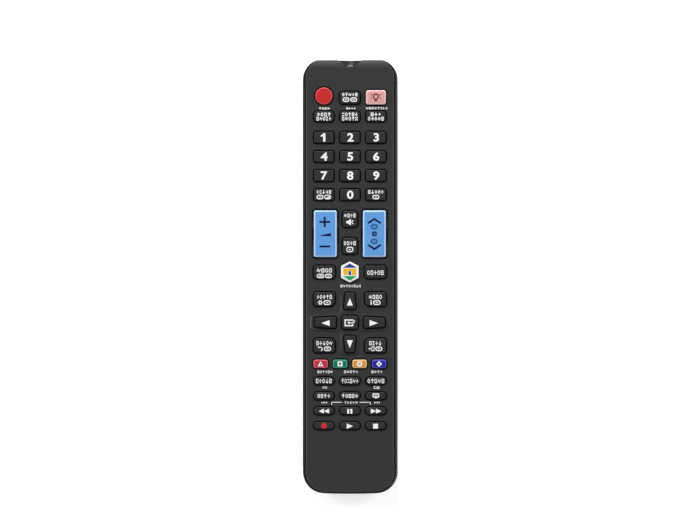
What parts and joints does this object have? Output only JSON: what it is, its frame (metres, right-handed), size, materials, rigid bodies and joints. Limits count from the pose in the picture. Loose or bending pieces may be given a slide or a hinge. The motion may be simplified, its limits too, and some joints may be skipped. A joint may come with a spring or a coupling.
{
  "type": "universal remote control",
  "caption": "Long flat handheld infrared remote control with rows of press keys, two rocker keys, a raised navigation cross and a battery cover on its back.",
  "frame": {"origin": "middle of the body's footprint on the plane it rests on, with the back down", "axes": "+Y towards the head with the infrared diode, +Z out of the key side, +X to the right of the keys"},
  "size_m": [0.048, 0.2202, 0.0216],
  "materials": {
    "face": "fine moulded grain",
    "shell": "fine moulded grain",
    "key": "smooth satin",
    "rocker": "smooth satin",
    "power": "smooth satin",
    "light": "smooth satin",
    "red": "smooth satin",
    "green": "smooth satin",
    "yellow": "smooth satin",
    "blue": "smooth satin",
    "home": "smooth satin with a coloured print",
    "silicone": "matte silicone",
    "board": "solder resist",
    "lens": "clear cast resin",
    "component": "moulded package",
    "cell": "printed sleeve",
    "spring": "nickel plated",
    "contact": "nickel plated"
  },
  "bodies": {
    "case": {"bottom_shell": "shell", "top_shell": "face", "key_mat": "silicone", "circuit_board": "board", "infrared_diode": "lens", "board_components": "component", "battery_cells": "cell", "battery_springs": "spring", "battery_plates": "contact"},
    "battery_cover": {"battery_cover": "shell"},
    "volume_rocker": {"volume_rocker": "rocker"},
    "channel_rocker": {"channel_rocker": "rocker"},
    "power_key": {"power_key": "power"},
    "source_key": {"source_key": "key"},
    "light_key": {"light_key": "light"},
    "mode_key": {"mode_key": "key"},
    "help_key": {"help_key": "key"},
    "web_key": {"web_key": "key"},
    "digit_1_key": {"digit_1_key": "key"},
    "digit_2_key": {"digit_2_key": "key"},
    "digit_3_key": {"digit_3_key": "key"},
    "digit_4_key": {"digit_4_key": "key"},
    "digit_5_key": {"digit_5_key": "key"},
    "digit_6_key": {"digit_6_key": "key"},
    "digit_7_key": {"digit_7_key": "key"},
    "digit_8_key": {"digit_8_key": "key"},
    "digit_9_key": {"digit_9_key": "key"},
    "teletext_key": {"teletext_key": "key"},
    "digit_0_key": {"digit_0_key": "key"},
    "previous_channel_key": {"previous_channel_key": "key"},
    "mute_key": {"mute_key": "key"},
    "channel_list_key": {"channel_list_key": "key"},
    "menu_key": {"menu_key": "key"},
    "home_key": {"home_key": "home"},
    "guide_key": {"guide_key": "key"},
    "tools_key": {"tools_key": "key"},
    "info_key": {"info_key": "key"},
    "up_key": {"up_key": "key"},
    "left_key": {"left_key": "key"},
    "enter_key": {"enter_key": "key"},
    "right_key": {"right_key": "key"},
    "down_key": {"down_key": "key"},
    "return_key": {"return_key": "key"},
    "exit_key": {"exit_key": "key"},
    "red_key": {"red_key": "red"},
    "green_key": {"green_key": "green"},
    "yellow_key": {"yellow_key": "yellow"},
    "blue_key": {"blue_key": "blue"},
    "history_key": {"history_key": "key"},
    "album_key": {"album_key": "key"},
    "camera_key": {"camera_key": "key"},
    "sound_key": {"sound_key": "key"},
    "subtitle_key": {"subtitle_key": "key"},
    "screen_key": {"screen_key": "key"},
    "rewind_key": {"rewind_key": "key"},
    "pause_key": {"pause_key": "key"},
    "forward_key": {"forward_key": "key"},
    "record_key": {"record_key": "key"},
    "play_key": {"play_key": "key"},
    "stop_key": {"stop_key": "key"}
  },
  "joints": [
    {"name": "cover_hinge", "type": "hinge", "parent": "case", "child": "battery_cover", "pos_m": [0, -0.00942, 0], "axis": [1, 0, 0], "range_deg": [0, 70]},
    {"name": "volume_tilt", "type": "hinge", "parent": "case", "child": "volume_rocker", "pos_m": [-0.01245, 0.0219, 0.01713], "axis": [1, 0, 0], "range_deg": [-4, 4], "stiffness_Nm_per_rad": 0.12},
    {"name": "channel_tilt", "type": "hinge", "parent": "case", "child": "channel_rocker", "pos_m": [0.01245, 0.0219, 0.01713], "axis": [1, 0, 0], "range_deg": [-4, 4], "stiffness_Nm_per_rad": 0.12},
    {"name": "power_key_press", "type": "slide", "parent": "case", "child": "power_key", "axis": [0, 0, -1], "range_m": [0, 0.00085], "stiffness_N_per_m": 800},
    {"name": "source_key_press", "type": "slide", "parent": "case", "child": "source_key", "axis": [0, 0, -1], "range_m": [0, 0.00085], "stiffness_N_per_m": 800},
    {"name": "light_key_press", "type": "slide", "parent": "case", "child": "light_key", "axis": [0, 0, -1], "range_m": [0, 0.00085], "stiffness_N_per_m": 800},
    {"name": "mode_key_press", "type": "slide", "parent": "case", "child": "mode_key", "axis": [0, 0, -1], "range_m": [0, 0.00085], "stiffness_N_per_m": 800},
    {"name": "help_key_press", "type": "slide", "parent": "case", "child": "help_key", "axis": [0, 0, -1], "range_m": [0, 0.00085], "stiffness_N_per_m": 800},
    {"name": "web_key_press", "type": "slide", "parent": "case", "child": "web_key", "axis": [0, 0, -1], "range_m": [0, 0.00085], "stiffness_N_per_m": 800},
    {"name": "digit_1_key_press", "type": "slide", "parent": "case", "child": "digit_1_key", "axis": [0, 0, -1], "range_m": [0, 0.00085], "stiffness_N_per_m": 800},
    {"name": "digit_2_key_press", "type": "slide", "parent": "case", "child": "digit_2_key", "axis": [0, 0, -1], "range_m": [0, 0.00085], "stiffness_N_per_m": 800},
    {"name": "digit_3_key_press", "type": "slide", "parent": "case", "child": "digit_3_key", "axis": [0, 0, -1], "range_m": [0, 0.00085], "stiffness_N_per_m": 800},
    {"name": "digit_4_key_press", "type": "slide", "parent": "case", "child": "digit_4_key", "axis": [0, 0, -1], "range_m": [0, 0.00085], "stiffness_N_per_m": 800},
    {"name": "digit_5_key_press", "type": "slide", "parent": "case", "child": "digit_5_key", "axis": [0, 0, -1], "range_m": [0, 0.00085], "stiffness_N_per_m": 800},
    {"name": "digit_6_key_press", "type": "slide", "parent": "case", "child": "digit_6_key", "axis": [0, 0, -1], "range_m": [0, 0.00085], "stiffness_N_per_m": 800},
    {"name": "digit_7_key_press", "type": "slide", "parent": "case", "child": "digit_7_key", "axis": [0, 0, -1], "range_m": [0, 0.00085], "stiffness_N_per_m": 800},
    {"name": "digit_8_key_press", "type": "slide", "parent": "case", "child": "digit_8_key", "axis": [0, 0, -1], "range_m": [0, 0.00085], "stiffness_N_per_m": 800},
    {"name": "digit_9_key_press", "type": "slide", "parent": "case", "child": "digit_9_key", "axis": [0, 0, -1], "range_m": [0, 0.00085], "stiffness_N_per_m": 800},
    {"name": "teletext_key_press", "type": "slide", "parent": "case", "child": "teletext_key", "axis": [0, 0, -1], "range_m": [0, 0.00085], "stiffness_N_per_m": 800},
    {"name": "digit_0_key_press", "type": "slide", "parent": "case", "child": "digit_0_key", "axis": [0, 0, -1], "range_m": [0, 0.00085], "stiffness_N_per_m": 800},
    {"name": "previous_channel_key_press", "type": "slide", "parent": "case", "child": "previous_channel_key", "axis": [0, 0, -1], "range_m": [0, 0.00085], "stiffness_N_per_m": 800},
    {"name": "mute_key_press", "type": "slide", "parent": "case", "child": "mute_key", "axis": [0, 0, -1], "range_m": [0, 0.00085], "stiffness_N_per_m": 800},
    {"name": "channel_list_key_press", "type": "slide", "parent": "case", "child": "channel_list_key", "axis": [0, 0, -1], "range_m": [0, 0.00085], "stiffness_N_per_m": 800},
    {"name": "menu_key_press", "type": "slide", "parent": "case", "child": "menu_key", "axis": [0, 0, -1], "range_m": [0, 0.00085], "stiffness_N_per_m": 800},
    {"name": "home_key_press", "type": "slide", "parent": "case", "child": "home_key", "axis": [0, 0, -1], "range_m": [0, 0.00085], "stiffness_N_per_m": 800},
    {"name": "guide_key_press", "type": "slide", "parent": "case", "child": "guide_key", "axis": [0, 0, -1], "range_m": [0, 0.00085], "stiffness_N_per_m": 800},
    {"name": "tools_key_press", "type": "slide", "parent": "case", "child": "tools_key", "axis": [0, 0, -1], "range_m": [0, 0.00085], "stiffness_N_per_m": 800},
    {"name": "info_key_press", "type": "slide", "parent": "case", "child": "info_key", "axis": [0, 0, -1], "range_m": [0, 0.00085], "stiffness_N_per_m": 800},
    {"name": "up_key_press", "type": "slide", "parent": "case", "child": "up_key", "axis": [0, 0, -1], "range_m": [0, 0.00085], "stiffness_N_per_m": 800},
    {"name": "left_key_press", "type": "slide", "parent": "case", "child": "left_key", "axis": [0, 0, -1], "range_m": [0, 0.00085], "stiffness_N_per_m": 800},
    {"name": "enter_key_press", "type": "slide", "parent": "case", "child": "enter_key", "axis": [0, 0, -1], "range_m": [0, 0.00085], "stiffness_N_per_m": 800},
    {"name": "right_key_press", "type": "slide", "parent": "case", "child": "right_key", "axis": [0, 0, -1], "range_m": [0, 0.00085], "stiffness_N_per_m": 800},
    {"name": "down_key_press", "type": "slide", "parent": "case", "child": "down_key", "axis": [0, 0, -1], "range_m": [0, 0.00085], "stiffness_N_per_m": 800},
    {"name": "return_key_press", "type": "slide", "parent": "case", "child": "return_key", "axis": [0, 0, -1], "range_m": [0, 0.00085], "stiffness_N_per_m": 800},
    {"name": "exit_key_press", "type": "slide", "parent": "case", "child": "exit_key", "axis": [0, 0, -1], "range_m": [0, 0.00085], "stiffness_N_per_m": 800},
    {"name": "red_key_press", "type": "slide", "parent": "case", "child": "red_key", "axis": [0, 0, -1], "range_m": [0, 0.00085], "stiffness_N_per_m": 800},
    {"name": "green_key_press", "type": "slide", "parent": "case", "child": "green_key", "axis": [0, 0, -1], "range_m": [0, 0.00085], "stiffness_N_per_m": 800},
    {"name": "yellow_key_press", "type": "slide", "parent": "case", "child": "yellow_key", "axis": [0, 0, -1], "range_m": [0, 0.00085], "stiffness_N_per_m": 800},
    {"name": "blue_key_press", "type": "slide", "parent": "case", "child": "blue_key", "axis": [0, 0, -1], "range_m": [0, 0.00085], "stiffness_N_per_m": 800},
    {"name": "history_key_press", "type": "slide", "parent": "case", "child": "history_key", "axis": [0, 0, -1], "range_m": [0, 0.00085], "stiffness_N_per_m": 800},
    {"name": "album_key_press", "type": "slide", "parent": "case", "child": "album_key", "axis": [0, 0, -1], "range_m": [0, 0.00085], "stiffness_N_per_m": 800},
    {"name": "camera_key_press", "type": "slide", "parent": "case", "child": "camera_key", "axis": [0, 0, -1], "range_m": [0, 0.00085], "stiffness_N_per_m": 800},
    {"name": "sound_key_press", "type": "slide", "parent": "case", "child": "sound_key", "axis": [0, 0, -1], "range_m": [0, 0.00085], "stiffness_N_per_m": 800},
    {"name": "subtitle_key_press", "type": "slide", "parent": "case", "child": "subtitle_key", "axis": [0, 0, -1], "range_m": [0, 0.00085], "stiffness_N_per_m": 800},
    {"name": "screen_key_press", "type": "slide", "parent": "case", "child": "screen_key", "axis": [0, 0, -1], "range_m": [0, 0.00085], "stiffness_N_per_m": 800},
    {"name": "rewind_key_press", "type": "slide", "parent": "case", "child": "rewind_key", "axis": [0, 0, -1], "range_m": [0, 0.00085], "stiffness_N_per_m": 800},
    {"name": "pause_key_press", "type": "slide", "parent": "case", "child": "pause_key", "axis": [0, 0, -1], "range_m": [0, 0.00085], "stiffness_N_per_m": 800},
    {"name": "forward_key_press", "type": "slide", "parent": "case", "child": "forward_key", "axis": [0, 0, -1], "range_m": [0, 0.00085], "stiffness_N_per_m": 800},
    {"name": "record_key_press", "type": "slide", "parent": "case", "child": "record_key", "axis": [0, 0, -1], "range_m": [0, 0.00085], "stiffness_N_per_m": 800},
    {"name": "play_key_press", "type": "slide", "parent": "case", "child": "play_key", "axis": [0, 0, -1], "range_m": [0, 0.00085], "stiffness_N_per_m": 800},
    {"name": "stop_key_press", "type": "slide", "parent": "case", "child": "stop_key", "axis": [0, 0, -1], "range_m": [0, 0.00085], "stiffness_N_per_m": 800}
  ]
}
